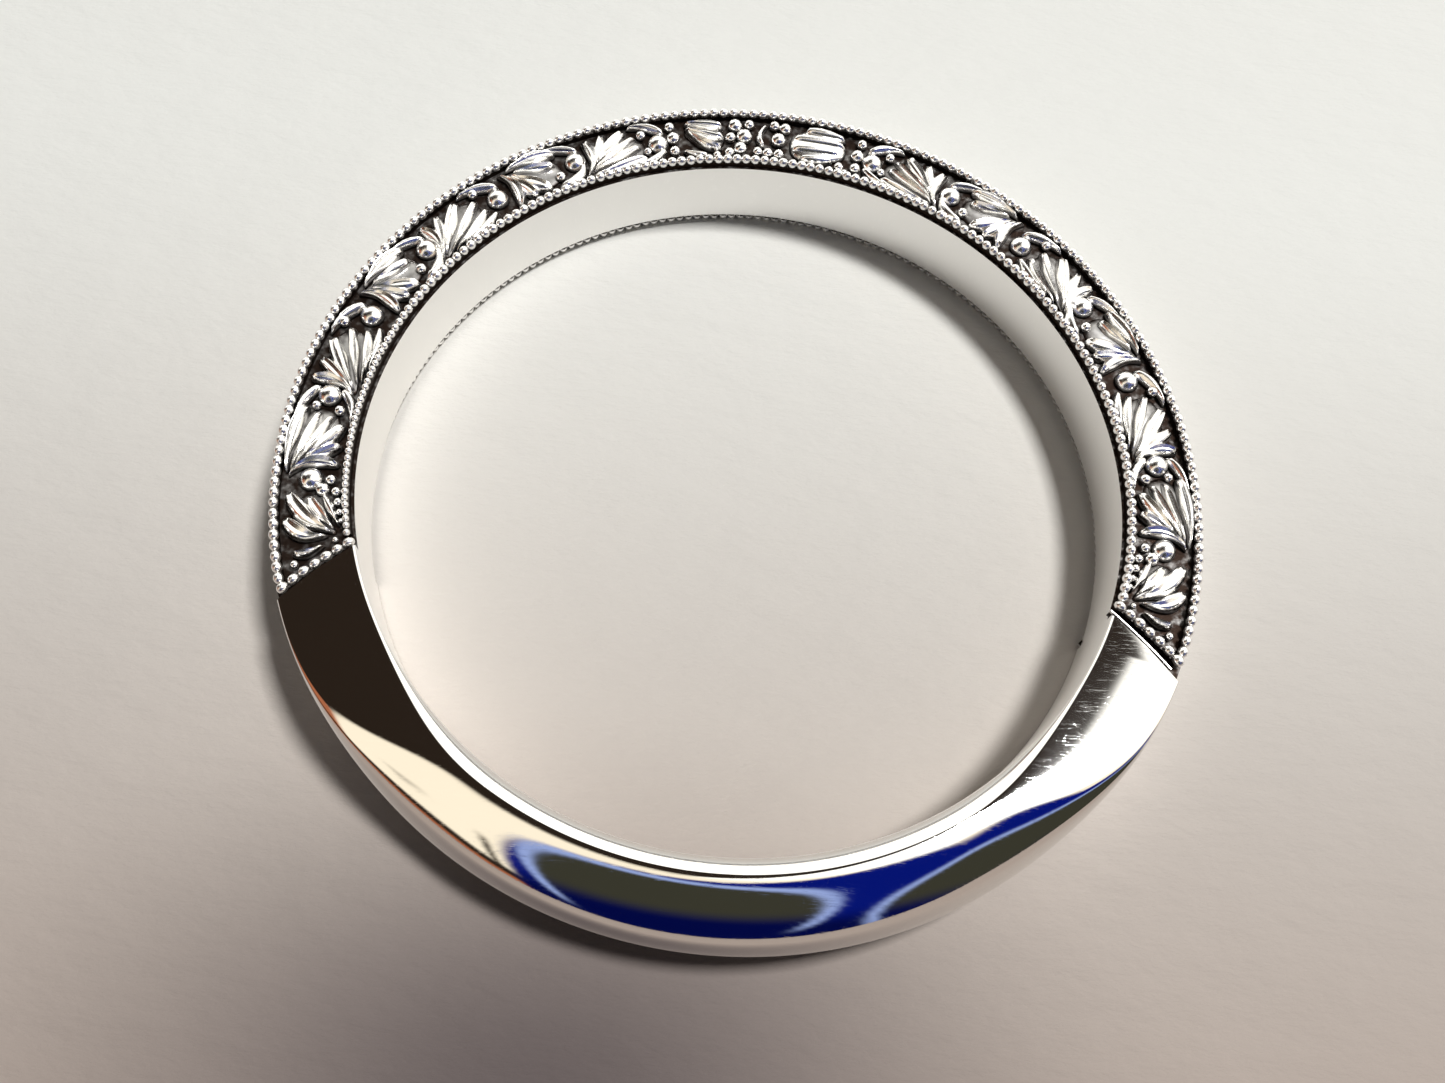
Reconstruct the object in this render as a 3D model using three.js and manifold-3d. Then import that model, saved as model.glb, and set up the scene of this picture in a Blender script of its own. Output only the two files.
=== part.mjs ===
// A white metal wedding band. Most of the hoop carries scroll leaves and beaded borders on both of
// its flat sides, and the shank opposite is plain and domed. Millimetres, +Z along the finger, the
// lower side on z = 0, the middle of the decorated stretch (the crown) at +Y.
import * as THREE from "three";
import { mergeVertices } from "three/addons/utils/BufferGeometryUtils.js";
import { ParametricGeometry } from "three/addons/geometries/ParametricGeometry.js";
import Module from "manifold-3d";

const wasm = await Module();
wasm.setup();

// Driving dimensions.
const boreRadius = 8.25;
const wall = 1.7;
const bandWidth = 2.3;
const outerRadius = boreRadius + wall;
const midRadius = boreRadius + wall / 2;

// The sunk ground on each side, and the clearance that every laid-on piece keeps.
const groundDepth = 0.3;
const clearance = 0.02;

// The slanting end rows: their angle from the crown at the bore and at the outer edge, and how far
// the ground runs on past them on each side of the crown.
const endRowInner = 107.4;
const endRowOuter = 112.3;
const trench = { right: 2.4, left: 1.15 };

// The plain shank turns from a flat side to a dome between these angles from the crown.
const domeStarts = 117;
const domeEnds = 150;
const flatCorner = 0.07;
const domeWide = 1.32;
const domeTall = 1.08;
const comfortCorner = 0.38;
// How full the dome's quarter ovals are: 2 is an ellipse, and less gives a narrower crest.
const crestPower = 1.5;

// Beaded borders.
const beadSize = 0.24;
const beadPitch = 0.265;
const beadWaist = 0.72;
const beadHeight = groundDepth - clearance;
const innerRowRadius = boreRadius + beadSize / 2 + 0.01;
const outerRowRadius = outerRadius - beadSize / 2 + 0.03;
const rowTiltDegrees = endRowOuter - endRowInner;

// The running scroll: a central group and seven leaves on each side of it.
const leavesPerSide = 7;
const leafPitch = 13.5;
const centreHalfAngle = 12.6;
const leafHeight = groundDepth - 3 * clearance;

const whiteMetal = new THREE.MeshStandardMaterial({ color: 0xd9d6d0, metalness: 1, roughness: 0.12 });
const engravedMetal = new THREE.MeshStandardMaterial({ color: 0xc9c5bd, metalness: 1, roughness: 0.3 });
const group = new THREE.Group();

const radians = THREE.MathUtils.degToRad;
const lengthOf = (degrees) => radians(degrees) * midRadius;
const rowAngle = (radius) => endRowInner + (rowTiltDegrees / wall) * (radius - boreRadius);

// Add one named sub-part.
function addPart(name, geometry, material) {
  const mesh = new THREE.Mesh(geometry, material);
  mesh.name = name;
  group.add(mesh);
}

// A geometry with only positions, its shared corners merged.
function merged(geometry) {
  geometry.deleteAttribute("normal");
  geometry.deleteAttribute("uv");
  return mergeVertices(geometry, 1e-4);
}

function toSolid(geometry) {
  const closed = merged(geometry);
  const vertProperties = new Float32Array(closed.attributes.position.array);
  const triVerts = new Uint32Array(closed.index.array);
  return new wasm.Manifold(new wasm.Mesh({ numProp: 3, vertProperties, triVerts }));
}

function toGeometry(solid) {
  const mesh = solid.getMesh();
  const geometry = new THREE.BufferGeometry();
  geometry.setAttribute("position", new THREE.BufferAttribute(new Float32Array(mesh.vertProperties), 3));
  geometry.setIndex(new THREE.BufferAttribute(new Uint32Array(mesh.triVerts), 1));
  return geometry;
}

// Turn a mirrored geometry's faces outwards again.
function flipFaces(geometry) {
  const index = geometry.index.array;
  for (let i = 0; i < index.length; i += 3) {
    [index[i + 1], index[i + 2]] = [index[i + 2], index[i + 1]];
  }
  return geometry;
}

// Wrap a flat piece round the band: x runs along the hoop from the crown, y outwards from the middle
// radius, z up from the sunk ground. side is +1 on the upper side and -1 on the lower one.
function wrap(geometry, side) {
  const flat = merged(geometry);
  const position = flat.attributes.position;
  for (let i = 0; i < position.count; i++) {
    const angle = Math.PI / 2 - position.getX(i) / midRadius;
    const radius = midRadius + position.getY(i);
    const rise = bandWidth / 2 - groundDepth + clearance + position.getZ(i);
    position.setXYZ(
      i,
      radius * Math.cos(angle),
      radius * Math.sin(angle),
      bandWidth / 2 + side * rise,
    );
  }
  return side > 0 ? flat : flipFaces(flat);
}

// A flat piece mirrored in x (to the other side of the crown) or in y (root on the other edge).
function mirrored(geometry, alongX, alongY) {
  const flat = merged(geometry);
  flat.scale(alongX ? -1 : 1, alongY ? -1 : 1, 1);
  return alongX !== alongY ? flipFaces(flat) : flat;
}

// The band's section at an angle from the crown: a rectangle with a rounded inner edge that turns
// into a dome round the back. index counts points once round the section, corner by corner.
const sectionPoints = 20;
const perCorner = sectionPoints / 4;

function sectionPoint(fromCrown, index) {
  const dome = THREE.MathUtils.smootherstep(fromCrown, domeStarts, domeEnds);
  const outerWide = THREE.MathUtils.lerp(flatCorner, domeWide, dome);
  const outerTall = THREE.MathUtils.lerp(flatCorner, domeTall, dome);
  const inner = THREE.MathUtils.lerp(flatCorner, comfortCorner, dome);
  const corner = Math.floor(index / perCorner);
  const turn = (Math.PI / 2) * ((index % perCorner) / (perCorner - 1) + corner);
  const outside = corner === 0 || corner === 3;
  const above = corner < 2;
  const wide = outside ? outerWide : inner;
  const tall = outside ? outerTall : inner;
  const centreRadius = outside ? outerRadius - wide : boreRadius + wide;
  const centreHeight = above ? bandWidth - tall : tall;
  const power = 2 / THREE.MathUtils.lerp(2, crestPower, dome);
  const bulge = (share) => Math.sign(share) * Math.abs(share) ** power;
  return [centreRadius + wide * bulge(Math.cos(turn)), centreHeight + tall * bulge(Math.sin(turn))];
}

function makeHoop() {
  const stepsRound = 96;
  const surface = (u, v, target) => {
    const angle = u * 2 * Math.PI;
    const fromCrown = Math.abs(THREE.MathUtils.radToDeg(angle) - 180);
    const index = Math.round(v * sectionPoints) % sectionPoints;
    const [radius, height] = sectionPoint(fromCrown, index);
    const place = angle - Math.PI / 2;
    target.set(radius * Math.cos(place), radius * Math.sin(place), height);
  };
  const loft = new ParametricGeometry(surface, stepsRound, sectionPoints);
  const band = toSolid(loft);
  return toGeometry(band.subtract(makeSink(1)).subtract(makeSink(-1)));
}

// The cutter that sinks the ground on one side: a ring sector with slanting ends.
function makeSink(side) {
  const margin = 0.4;
  const low = boreRadius - margin;
  const high = outerRadius + margin;
  const right = (radius) => Math.PI / 2 - radians(rowAngle(radius) + trench.right);
  const left = (radius) => Math.PI / 2 + radians(rowAngle(radius) + trench.left);
  const outline = new THREE.Shape();
  outline.absarc(0, 0, high, right(high), left(high), false);
  outline.absarc(0, 0, low, left(low), right(low), true);
  const cutter = new THREE.ExtrudeGeometry(outline, { depth: 1, bevelEnabled: false, curveSegments: 60 });
  cutter.translate(0, 0, side > 0 ? bandWidth - groundDepth : groundDepth - 1);
  return toSolid(cutter);
}

// A row of beads that lies along x, flat side down: a bar that swells at each bead and narrows
// between two.
function beadedBar(length, beads) {
  const half = beadSize / 2;
  const section = new THREE.Shape();
  section.moveTo(-half, 0);
  section.lineTo(half, 0);
  section.lineTo(half * 0.55, beadHeight);
  section.lineTo(-half * 0.55, beadHeight);
  section.closePath();
  const bar = new THREE.ExtrudeGeometry(section, { depth: length, steps: 2 * beads, bevelEnabled: false });
  // The section's width goes to y and its height to z, the length to x.
  const turned = new THREE.Matrix4().makeBasis(
    new THREE.Vector3(0, 1, 0),
    new THREE.Vector3(0, 0, 1),
    new THREE.Vector3(1, 0, 0),
  );
  bar.applyMatrix4(turned);
  const position = bar.attributes.position;
  for (let i = 0; i < position.count; i++) {
    const step = Math.round((position.getX(i) / length) * 2 * beads);
    const girth = step % 2 === 1 ? 1 : beadWaist;
    position.setXYZ(i, position.getX(i) - length / 2, position.getY(i) * girth, position.getZ(i) * girth);
  }
  return bar;
}

// A border row along one edge of the side, short of the slanting end rows.
function borderRow(radius, side) {
  const endGap = (beadSize + clearance) * 1.6;
  const length = 2 * lengthOf(rowAngle(radius)) - 2 * endGap;
  const beads = Math.round((length * radius) / midRadius / beadPitch);
  const row = beadedBar(length, beads);
  return wrap(row.translate(0, radius - midRadius, 0), side);
}

// A slanting row that closes the decorated stretch, across the whole side.
function endRow(side, hand) {
  const run = lengthOf(rowTiltDegrees);
  const tilt = Math.atan2(wall, run);
  const length = Math.hypot(wall, run) - beadSize;
  const row = beadedBar(length, Math.round(length / beadPitch));
  row.rotateZ(tilt);
  row.translate(lengthOf((endRowInner + endRowOuter) / 2), 0, 0);
  return wrap(mirrored(row, hand < 0, false), side);
}

function raised(outline) {
  return new THREE.ExtrudeGeometry(outline, { depth: leafHeight, bevelEnabled: false, curveSegments: 2 });
}

// A closed outline through tips, each reached over a curve that bulges through its bend:
// [bend x, bend y, tip x, tip y].
function lobedOutline(start, stretches) {
  const outline = new THREE.Shape();
  outline.moveTo(...start);
  for (const stretch of stretches) {
    outline.quadraticCurveTo(...stretch);
  }
  outline.closePath();
  return outline;
}

// One scroll leaf with its root on the inner edge. Its lobes reach the outer edge, and its head
// curls round a ball towards the crown. Every leaf but the last starts with a lobe that hugs the
// hollow of the leaf before.
function leafOutline(isLast) {
  const hugging = [
    [2.3, 0, 2.5, 0.5],
    [2.42, 0.56, 2.3, 0.42],
    [2.3, 0.3, 2.2, 0.2],
    [2.1, 0.45, 1.98, 0.5],
  ];
  const root = isLast ? [1.92, -0.5] : [2.66, -0.54];
  return lobedOutline(root, [
    ...(isLast ? [[2.06, 0.05, 1.98, 0.5]] : hugging),
    [1.85, 0.4, 1.84, 0.2],
    [1.6, 0.48, 1.36, 0.5],
    [1.2, 0.3, 1.05, 0.16],
    [0.9, 0.1, 0.7, 0.04],
    [0.5, 0, 0.5, -0.14],
    [0.5, -0.3, 0.7, -0.42],
    [1.5, -0.56, ...root],
  ]);
}

// One leaf: number counts from the crown, hand is +1 clockwise of it.
function scrollLeaf(number, hand, side) {
  const start = lengthOf(centreHalfAngle + number * leafPitch);
  const outline = leafOutline(number === leavesPerSide - 1);
  const leaf = mirrored(raised(outline), false, number % 2 === 1);
  leaf.translate(start, 0, 0);
  return wrap(mirrored(leaf, hand < 0, false), side);
}

// The shell of four lobes beside the crown, their tips towards it.
function crownFan() {
  return lobedOutline(
    [1.92, -0.3],
    [
      [2.04, 0, 1.92, 0.4],
      [1.4, 0.62, 0.94, 0.42],
      [0.84, 0.3, 0.9, 0.24],
      [0.6, 0.2, 0.64, 0.06],
      [0.66, -0.06, 0.8, -0.1],
      [0.64, -0.22, 0.76, -0.34],
      [1.0, -0.34, 1.08, -0.4],
      [1.2, -0.6, 1.92, -0.3],
    ],
  );
}

// The knot of balls at the crown.
function crownKnot() {
  return lobedOutline(
    [0.4, -0.1],
    [
      [0.5, 0.2, 0.46, 0.46],
      [0.2, 0.56, 0.02, 0.5],
      [-0.3, 0.2, -0.5, 0.26],
      [-0.7, 0.52, -0.86, 0.36],
      [-0.78, 0.14, -0.88, 0],
      [-1.0, -0.4, -0.86, -0.46],
      [-0.6, -0.4, -0.5, -0.2],
      [-0.3, -0.46, 0.08, -0.44],
      [0.2, -0.2, 0.4, -0.1],
    ],
  );
}

// The long leaf on the other side of the crown.
function crownLeaf() {
  return lobedOutline(
    [-1.98, 0.54],
    [
      [-1.4, 0.46, -1.06, 0.28],
      [-1.0, 0.16, -1.14, 0.1],
      [-0.96, -0.04, -1.06, -0.14],
      [-1.04, -0.34, -1.24, -0.38],
      [-1.6, -0.56, -1.98, -0.5],
      [-1.9, 0, -1.98, 0.54],
    ],
  );
}

// The small leaf that fills the slanting corner beside an end row.
function cornerLeaf() {
  const reach = lengthOf(endRowInner);
  return lobedOutline(
    [reach - 0.06, -0.22],
    [
      [reach + 0.02, 0.2, reach, 0.46],
      [reach + 0.2, 0.56, reach + 0.38, 0.46],
      [reach + 0.24, 0.1, reach - 0.06, -0.22],
    ],
  );
}

const carving = (outline, side, hand = 1) => wrap(mirrored(raised(outline), hand < 0, false), side);

addPart("hoop", makeHoop(), whiteMetal);
for (const [place, side] of [["upper", 1], ["lower", -1]]) {
  addPart("milgrain_inner_" + place, borderRow(innerRowRadius, side), engravedMetal);
  addPart("milgrain_outer_" + place, borderRow(outerRowRadius, side), engravedMetal);
  addPart("crown_fan_" + place, carving(crownFan(), side), engravedMetal);
  addPart("crown_knot_" + place, carving(crownKnot(), side), engravedMetal);
  addPart("crown_leaf_" + place, carving(crownLeaf(), side), engravedMetal);
  for (const [turn, hand] of [["right", 1], ["left", -1]]) {
    addPart("milgrain_end_" + place + "_" + turn, endRow(side, hand), engravedMetal);
    addPart("end_leaf_" + place + "_" + turn, carving(cornerLeaf(), side, hand), engravedMetal);
    for (let number = 0; number < leavesPerSide; number++) {
      const name = "scroll_" + place + "_" + turn + "_" + (number + 1);
      addPart(name, scrollLeaf(number, hand, side), engravedMetal);
    }
  }
}

export default group;
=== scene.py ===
# %% [markdown]
# # A wedding band with engraved sides
#
# The band is a hoop of polished white metal. On most of its way round, both flat sides are sunk and
# carved with scroll leaves between two rows of tiny beads (milgrain). Opposite, the shank is plain
# and rolls over into a dome, so that it is kind to the next finger.
#
# Everything is worked out in millimetres and stored in metres. The finger hole's axis is Z, the
# band lies on z = 0, and the crown (the middle of the carved stretch) is at +Y.

# %% The fixed frame
import math
import random

import bmesh
import bpy
from mathutils import Matrix, Quaternion, Vector


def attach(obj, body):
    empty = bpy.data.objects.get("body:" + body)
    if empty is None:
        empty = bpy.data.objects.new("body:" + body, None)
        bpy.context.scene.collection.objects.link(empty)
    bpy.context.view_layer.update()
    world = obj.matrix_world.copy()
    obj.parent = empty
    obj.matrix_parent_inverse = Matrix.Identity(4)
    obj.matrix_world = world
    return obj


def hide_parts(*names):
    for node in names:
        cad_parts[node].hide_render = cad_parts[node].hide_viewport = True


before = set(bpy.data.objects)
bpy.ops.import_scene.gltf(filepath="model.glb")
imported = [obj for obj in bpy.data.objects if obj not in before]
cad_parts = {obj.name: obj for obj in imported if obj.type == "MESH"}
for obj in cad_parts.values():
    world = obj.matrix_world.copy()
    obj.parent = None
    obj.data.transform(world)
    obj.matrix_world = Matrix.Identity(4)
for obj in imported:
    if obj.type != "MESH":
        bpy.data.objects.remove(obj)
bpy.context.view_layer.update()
MM = 0.001

# %% [markdown]
# ## Sizes
#
# A band is described by its bore, its wall and its width. The rest follows from how a bench
# engraver works: the side is sunk by a third of a millimetre, and each bead is a quarter wide.

# %% Driving sizes, in millimetres and degrees
BORE = 8.25
WALL = 1.7
WIDTH = 2.3
OUTER = BORE + WALL
MIDDLE = BORE + WALL / 2
SUNK = 0.3
BEAD = 0.24

END_ROW_INNER = 107.4
END_ROW_OUTER = 112.3
END_TRENCH = {1: 2.4, -1: 1.15}
DOME_STARTS = 117.0
DOME_ENDS = 150.0

LEAVES = 7
LEAF_PITCH = 13.5
CENTRE_HALF = 12.6
CELL = math.radians(LEAF_PITCH) * MIDDLE
SIDES = {"upper": 1, "lower": -1}
HANDS = {"right": 1, "left": -1}


def arc(degrees):
    """Length along the middle radius of an angle from the crown, in millimetres."""
    return math.radians(degrees) * MIDDLE


def blend(low, high, share):
    return low + (high - low) * share


def smooth(value, low, high):
    share = min(1.0, max(0.0, (value - low) / (high - low)))
    return share ** 3 * (share * (6 * share - 15) + 10)


print("leaf cell in mm:", round(CELL, 2))

# %% [markdown]
# ## Camera
#
# A phone held close over a small object gives strong perspective: the near shank looks larger than
# the crown. So the eye is put less than 3 cm from the band, with a wide lens.

# %% Camera
EYE = Vector((-0.942, -12.173, 25.027)) * MM
TARGET = Vector((-0.301, -0.864, 0.0)) * MM
ROLL = math.radians(7.72)
LENS = 29.96

bpy.ops.object.select_all(action="DESELECT")
bpy.ops.object.camera_add(location=EYE)
camera = bpy.context.object
camera.name = "camera"
camera.rotation_mode = "QUATERNION"
camera.rotation_quaternion = (TARGET - EYE).to_track_quat("-Z", "Y") @ Quaternion((0, 0, 1), ROLL)
camera.data.lens = LENS
camera.data.clip_start = 0.5 * MM
camera.data.clip_end = 3.0
bpy.context.scene.camera = camera
print("eye to target in mm:", round((TARGET - EYE).length / MM, 1))

# %% [markdown]
# ## Shader helpers
#
# Every material starts from the same few steps, so they are written once: make a material, place a
# node, and join two sockets.

# %% Shader helpers
def new_material(name):
    material = bpy.data.materials.new(name)
    material.use_nodes = True
    tree = material.node_tree
    return material, tree, tree.nodes["Principled BSDF"]


def add_node(tree, kind, values=None, **settings):
    node = tree.nodes.new(kind)
    for key, value in settings.items():
        setattr(node, key, value)
    for key, value in (values or {}).items():
        node.inputs[key].default_value = value
    return node


def add_group(tree, group, **values):
    node = tree.nodes.new("ShaderNodeGroup")
    node.node_tree = group
    for key, value in values.items():
        node.inputs[key.replace("_", " ")].default_value = value
    return node


def new_group(name, inputs, outputs):
    group = bpy.data.node_groups.new(name, "ShaderNodeTree")
    for label, kind, value in inputs:
        socket = group.interface.new_socket(label, in_out="INPUT", socket_type="NodeSocket" + kind)
        socket.default_value = value
    for label, kind in outputs:
        group.interface.new_socket(label, in_out="OUTPUT", socket_type="NodeSocket" + kind)
    start = group.nodes.new("NodeGroupInput")
    end = group.nodes.new("NodeGroupOutput")
    return group, start, end


# %% [markdown]
# ## Patina and painted shade in the depths
#
# The sunk ground of an engraved ring is never polished, and it keeps a black film. The film stops
# below the tops, which the finger and the polishing cloth reach. The same mask also paints shade:
# it darkens the deep ground and the low flanks of leaves and beads, where shade falls. This group
# measures the height above the sunk ground, on both sides of the band, and gives 1 in the depth and
# 0 on the tops. A noise makes the limit between the two uneven.

# %% Group: patina and painted shade in the depths
def make_depth_patina_and_shade():
    group, start, end = new_group(
        "depth patina and painted shade",
        [("Dark Below", "Float", 0.1 * MM), ("Clean Above", "Float", 0.2 * MM), ("Unevenness", "Float", 0.1 * MM)],
        [("Mask", "Float")],
    )
    place = add_node(group, "ShaderNodeTexCoord")
    split = add_node(group, "ShaderNodeSeparateXYZ")
    centred = add_node(group, "ShaderNodeMath", {1: WIDTH / 2 * MM}, operation="SUBTRACT")
    off_middle = add_node(group, "ShaderNodeMath", operation="ABSOLUTE")
    above = add_node(group, "ShaderNodeMath", {1: (WIDTH / 2 - SUNK) * MM}, operation="SUBTRACT")
    noise = add_node(group, "ShaderNodeTexNoise", {"Scale": 5200.0, "Detail": 3.0})
    about_zero = add_node(group, "ShaderNodeMath", {1: 0.5}, operation="SUBTRACT")
    uneven = add_node(group, "ShaderNodeMath", operation="MULTIPLY_ADD")
    # 1 in the depths: black film and painted shade; 0 on the tops.
    film = add_node(
        group, "ShaderNodeMapRange", {"To Min": 1.0, "To Max": 0.0}, interpolation_type="SMOOTHSTEP"
    )
    link = group.links.new
    link(place.outputs["Object"], split.inputs[0])
    link(split.outputs["Z"], centred.inputs[0])
    link(centred.outputs[0], off_middle.inputs[0])
    link(off_middle.outputs[0], above.inputs[0])
    link(place.outputs["Object"], noise.inputs["Vector"])
    link(noise.outputs["Fac"], about_zero.inputs[0])
    link(about_zero.outputs[0], uneven.inputs[0])
    link(start.outputs["Unevenness"], uneven.inputs[1])
    link(above.outputs[0], uneven.inputs[2])
    link(uneven.outputs[0], film.inputs["Value"])
    link(start.outputs["Dark Below"], film.inputs["From Min"])
    link(start.outputs["Clean Above"], film.inputs["From Max"])
    link(film.outputs[0], end.inputs["Mask"])
    return group


DEPTH_PATINA_AND_SHADE = make_depth_patina_and_shade()

# %% [markdown]
# ## Hairline scratches
#
# Polished precious metal is soft. A worn band is covered with hairlines that run every way, and
# they show as a faint haze and a few bright streaks. Two stretched noises, turned across each
# other, give a height for the bump and a mask that roughens the surface a little.

# %% Group: hairline scratches
def make_hairlines():
    group, start, end = new_group(
        "hairline scratches",
        [("Scale", "Float", 900.0), ("Amount", "Float", 0.5)],
        [("Height", "Float"), ("Mask", "Float")],
    )
    place = add_node(group, "ShaderNodeTexCoord")
    link = group.links.new
    layers = []
    for turn, stretch in ((0.5, (1.0, 14.0, 3.0)), (-0.9, (1.0, 18.0, 2.0))):
        mapping = add_node(group, "ShaderNodeMapping")
        mapping.inputs["Rotation"].default_value = (0.0, 0.0, turn)
        mapping.inputs["Scale"].default_value = stretch
        noise = add_node(group, "ShaderNodeTexNoise", {"Detail": 4.0, "Roughness": 0.7})
        thin = add_node(group, "ShaderNodeMapRange", {"From Min": 0.60, "From Max": 0.72}, clamp=True)
        link(place.outputs["Object"], mapping.inputs["Vector"])
        link(mapping.outputs[0], noise.inputs["Vector"])
        link(start.outputs["Scale"], noise.inputs["Scale"])
        link(noise.outputs["Fac"], thin.inputs["Value"])
        layers.append(thin)
    both = add_node(group, "ShaderNodeMath", operation="MAXIMUM")
    scaled = add_node(group, "ShaderNodeMath", operation="MULTIPLY")
    link(layers[0].outputs[0], both.inputs[0])
    link(layers[1].outputs[0], both.inputs[1])
    link(both.outputs[0], scaled.inputs[0])
    link(start.outputs["Amount"], scaled.inputs[1])
    link(both.outputs[0], end.inputs["Height"])
    link(scaled.outputs[0], end.inputs["Mask"])
    return group


HAIRLINES = make_hairlines()

# %% [markdown]
# ## Polished white metal
#
# Platinum and white gold are a slightly warm grey. The polish is close to a mirror, so nearly all
# that is seen is the surroundings; the hairlines break it up.

# %% Material: polished white metal
def make_polished(name, roughness, scratch_scale, bump_distance):
    material, tree, shader = new_material(name)
    shader.inputs["Metallic"].default_value = 1.0
    lines = add_group(tree, HAIRLINES, Scale=scratch_scale, Amount=0.6)
    tone = add_node(tree, "ShaderNodeMix", data_type="RGBA")
    tone.inputs["A"].default_value = (0.88, 0.87, 0.85, 1.0)
    tone.inputs["B"].default_value = (0.94, 0.93, 0.91, 1.0)
    haze = add_node(tree, "ShaderNodeMapRange")
    haze.inputs["To Min"].default_value = roughness
    haze.inputs["To Max"].default_value = roughness + 0.07
    bump = add_node(tree, "ShaderNodeBump", {"Strength": 0.35, "Distance": bump_distance * MM})
    link = tree.links.new
    link(lines.outputs["Mask"], tone.inputs["Factor"])
    link(lines.outputs["Mask"], haze.inputs["Value"])
    link(lines.outputs["Height"], bump.inputs["Height"])
    link(tone.outputs["Result"], shader.inputs["Base Color"])
    link(haze.outputs[0], shader.inputs["Roughness"])
    link(bump.outputs[0], shader.inputs["Normal"])
    return material


POLISHED = make_polished("polished white metal", 0.05, 1800.0, 0.0004)
SATIN_BORE = make_polished("satin bore", 0.42, 1400.0, 0.002)

# %% [markdown]
# ## Engraved metal
#
# The carved tops are cut bright by the graver, which leaves fine lines. Towards the ground the black
# film takes over, together with painted shade on the low flanks. Leaves, beads and the ground are the
# same finish in different amounts.

# %% Materials: leaves, beads and the sunk ground
# Near black: the black film in the hollows, and painted shade there and on the low flanks.
BLACK_FILM_AND_SHADE = (0.020, 0.013, 0.010, 1.0)


def make_engraved(name, roughness, dark_below, clean_above, unevenness, tool_scale, tool_depth):
    """Heights are in millimetres above the sunk ground."""
    material, tree, shader = new_material(name)
    shader.inputs["Metallic"].default_value = 1.0
    film = add_group(
        tree, DEPTH_PATINA_AND_SHADE, Dark_Below=dark_below * MM, Clean_Above=clean_above * MM,
        Unevenness=unevenness * MM,
    )
    # The mask mixes in the black film and painted shade where the piece is low.
    tone = add_node(tree, "ShaderNodeMix", data_type="RGBA")
    tone.inputs["A"].default_value = (0.93, 0.92, 0.90, 1.0)
    tone.inputs["B"].default_value = BLACK_FILM_AND_SHADE
    dull = add_node(tree, "ShaderNodeMapRange")
    dull.inputs["To Min"].default_value = roughness
    dull.inputs["To Max"].default_value = 0.5
    place = add_node(tree, "ShaderNodeTexCoord")
    noise = add_node(tree, "ShaderNodeTexNoise", {"Scale": tool_scale, "Detail": 4.0, "Roughness": 0.6})
    bump = add_node(tree, "ShaderNodeBump", {"Strength": 0.6, "Distance": tool_depth * MM})
    link = tree.links.new
    link(film.outputs["Mask"], tone.inputs["Factor"])
    link(film.outputs["Mask"], dull.inputs["Value"])
    link(place.outputs["Object"], noise.inputs["Vector"])
    link(noise.outputs["Fac"], bump.inputs["Height"])
    link(tone.outputs["Result"], shader.inputs["Base Color"])
    link(dull.outputs[0], shader.inputs["Roughness"])
    link(bump.outputs[0], shader.inputs["Normal"])
    return material


LEAF_METAL = make_engraved("bright cut leaf", 0.22, 0.03, 0.15, 0.05, 9000.0, 0.006)
BEAD_METAL = make_engraved("milgrain bead", 0.28, 0.11, 0.17, 0.02, 7000.0, 0.002)
GROUND_METAL = make_engraved("sunk ground", 0.40, -0.02, 0.25, 0.25, 12000.0, 0.02)

# %% [markdown]
# ## The hoop
#
# A hoop is turned from one section, so it is modelled in the same way: a closed outline spun once
# round the axis. The section is not the same all the way. On the carved stretch it is a
# rectangle; round the back its outer corners open into a half round and its inner ones into a soft
# comfort edge. So each point of the outline remembers its number, and once the spin is made it
# moves to where the section is at that angle.

# %% The band's section
CORNER_POINTS = 16
SHARP = 0.07
DOME_WIDE = 1.32
DOME_TALL = 1.08
COMFORT = 0.38
CREST_POWER = 1.5


def section_point(from_crown, number):
    """Radius and height of one point of the section, in millimetres."""
    dome = smooth(from_crown, DOME_STARTS, DOME_ENDS)
    corner, step = divmod(number, CORNER_POINTS)
    turn = math.pi / 2 * (step / (CORNER_POINTS - 1) + corner)
    outside = corner in (0, 3)
    wide = blend(SHARP, DOME_WIDE if outside else COMFORT, dome)
    tall = blend(SHARP, DOME_TALL if outside else COMFORT, dome)
    radius = OUTER - wide if outside else BORE + wide
    height = WIDTH - tall if corner < 2 else tall
    power = 2 / blend(2.0, CREST_POWER, dome)
    out, up = math.cos(turn), math.sin(turn)
    return (
        radius + wide * math.copysign(abs(out) ** power, out),
        height + tall * math.copysign(abs(up) ** power, up),
    )


def at_angle(radius, from_crown_signed):
    """A place on the hoop, clockwise from the crown, in millimetres."""
    angle = math.pi / 2 - math.radians(from_crown_signed)
    return radius * math.cos(angle), radius * math.sin(angle)


# %% Helpers for modelling
def start_piece(name):
    piece = bpy.context.object
    piece.name = name
    piece.data.name = name
    return piece


def deselect():
    bpy.ops.object.select_all(action="DESELECT")


def select_only(*pieces):
    deselect()
    for piece in pieces:
        piece.select_set(True)
    bpy.context.view_layer.objects.active = pieces[0]


def edit(piece, *steps):
    """Run edit mode steps on all of a piece's mesh."""
    select_only(piece)
    bpy.ops.object.mode_set(mode="EDIT")
    bpy.ops.mesh.select_all(action="SELECT")
    for step in steps:
        step()
    bpy.ops.object.mode_set(mode="OBJECT")


def join(pieces, name):
    select_only(*pieces)
    bpy.ops.object.join()
    return start_piece(name)


# %% Spin the hoop
STEPS_ROUND = 480


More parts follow.
